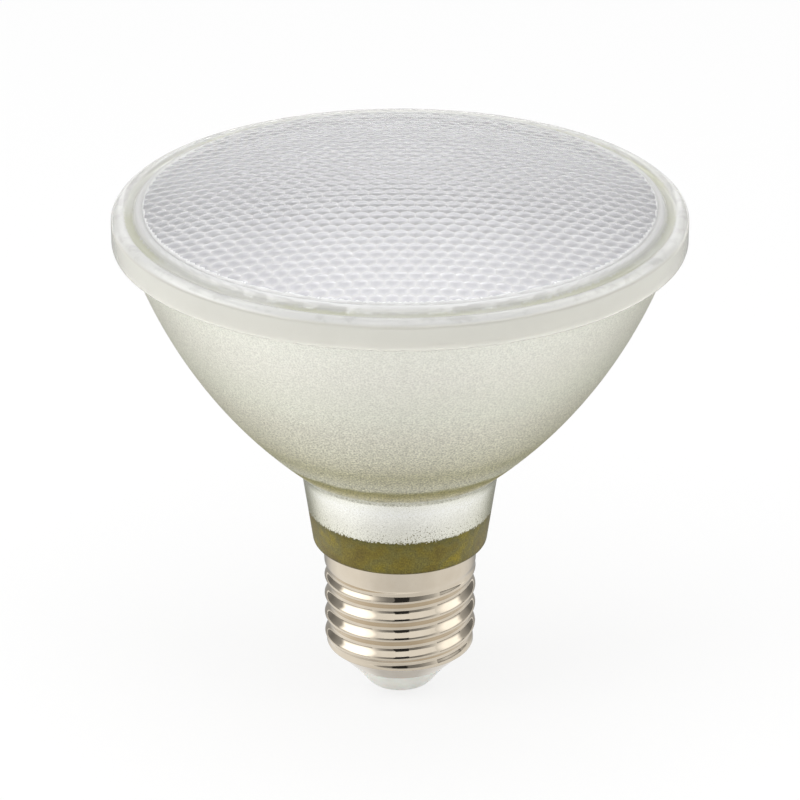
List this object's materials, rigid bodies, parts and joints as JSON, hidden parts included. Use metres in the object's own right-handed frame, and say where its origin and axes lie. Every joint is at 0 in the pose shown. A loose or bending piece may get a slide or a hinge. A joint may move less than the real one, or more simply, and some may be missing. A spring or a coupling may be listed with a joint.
{
  "type": "par spotlight bulb",
  "caption": "Glass reflector spotlight bulb with a pebbled clear front lens, a satin silvered bowl and neck, and an E27 screw cap.",
  "frame": {"origin": "on the bulb's axis, at the end face of the centre contact", "axes": "+Z along the axis from the cap to the front lens, -Y towards the picture's camera, +X to its right"},
  "size_m": [0.0958, 0.0958, 0.0953],
  "materials": {
    "lens_glass": "clear pressed glass with shallow hexagonal pillows",
    "clear_adhesive": "clear set glue",
    "reflector_glass": "pressed glass silvered on the inside, satin outside",
    "basing_cement": "set olive-brown cement",
    "cap_nickel": "thin rolled metal, warm nickel plate",
    "insulator_white": "off-white moulded insulator",
    "contact_brass": "pressed rivet",
    "spreader_aluminium": "spun, matt",
    "light_board": "white solder resist on a metal core",
    "led_phosphor": "yellow phosphor in a white package",
    "screw_steel": "zinc-plated",
    "sleeve_plastic": "moulded",
    "circuit_board": "green solder resist",
    "capacitor_sleeve": "shrink sleeve",
    "inductor_core": "ferrite drum with a lacquered winding",
    "film_capacitor": "moulded case",
    "chip_resin": "moulded resin",
    "fuse_body": "coated",
    "red_wire": "insulated",
    "black_wire": "insulated",
    "white_wire": "insulated"
  },
  "bodies": {
    "root": {"front_lens": "lens_glass", "rim_adhesive": "clear_adhesive", "glass_reflector": "reflector_glass", "basing_cement": "basing_cement", "screw_shell": "cap_nickel", "cap_insulator": "insulator_white", "centre_contact": "contact_brass", "heat_spreader": "spreader_aluminium", "led_board": "light_board", "led_chips": "led_phosphor", "board_screws": "screw_steel", "driver_sleeve": "sleeve_plastic", "driver_board": "circuit_board", "smoothing_capacitor": "capacitor_sleeve", "driver_inductor": "inductor_core", "input_capacitor": "film_capacitor", "bridge_rectifier": "chip_resin", "driver_ic": "chip_resin", "fuse_resistor": "fuse_body", "led_lead_positive": "red_wire", "led_lead_negative": "black_wire", "shell_lead": "white_wire", "contact_lead": "white_wire"}
  },
  "joints": []
}
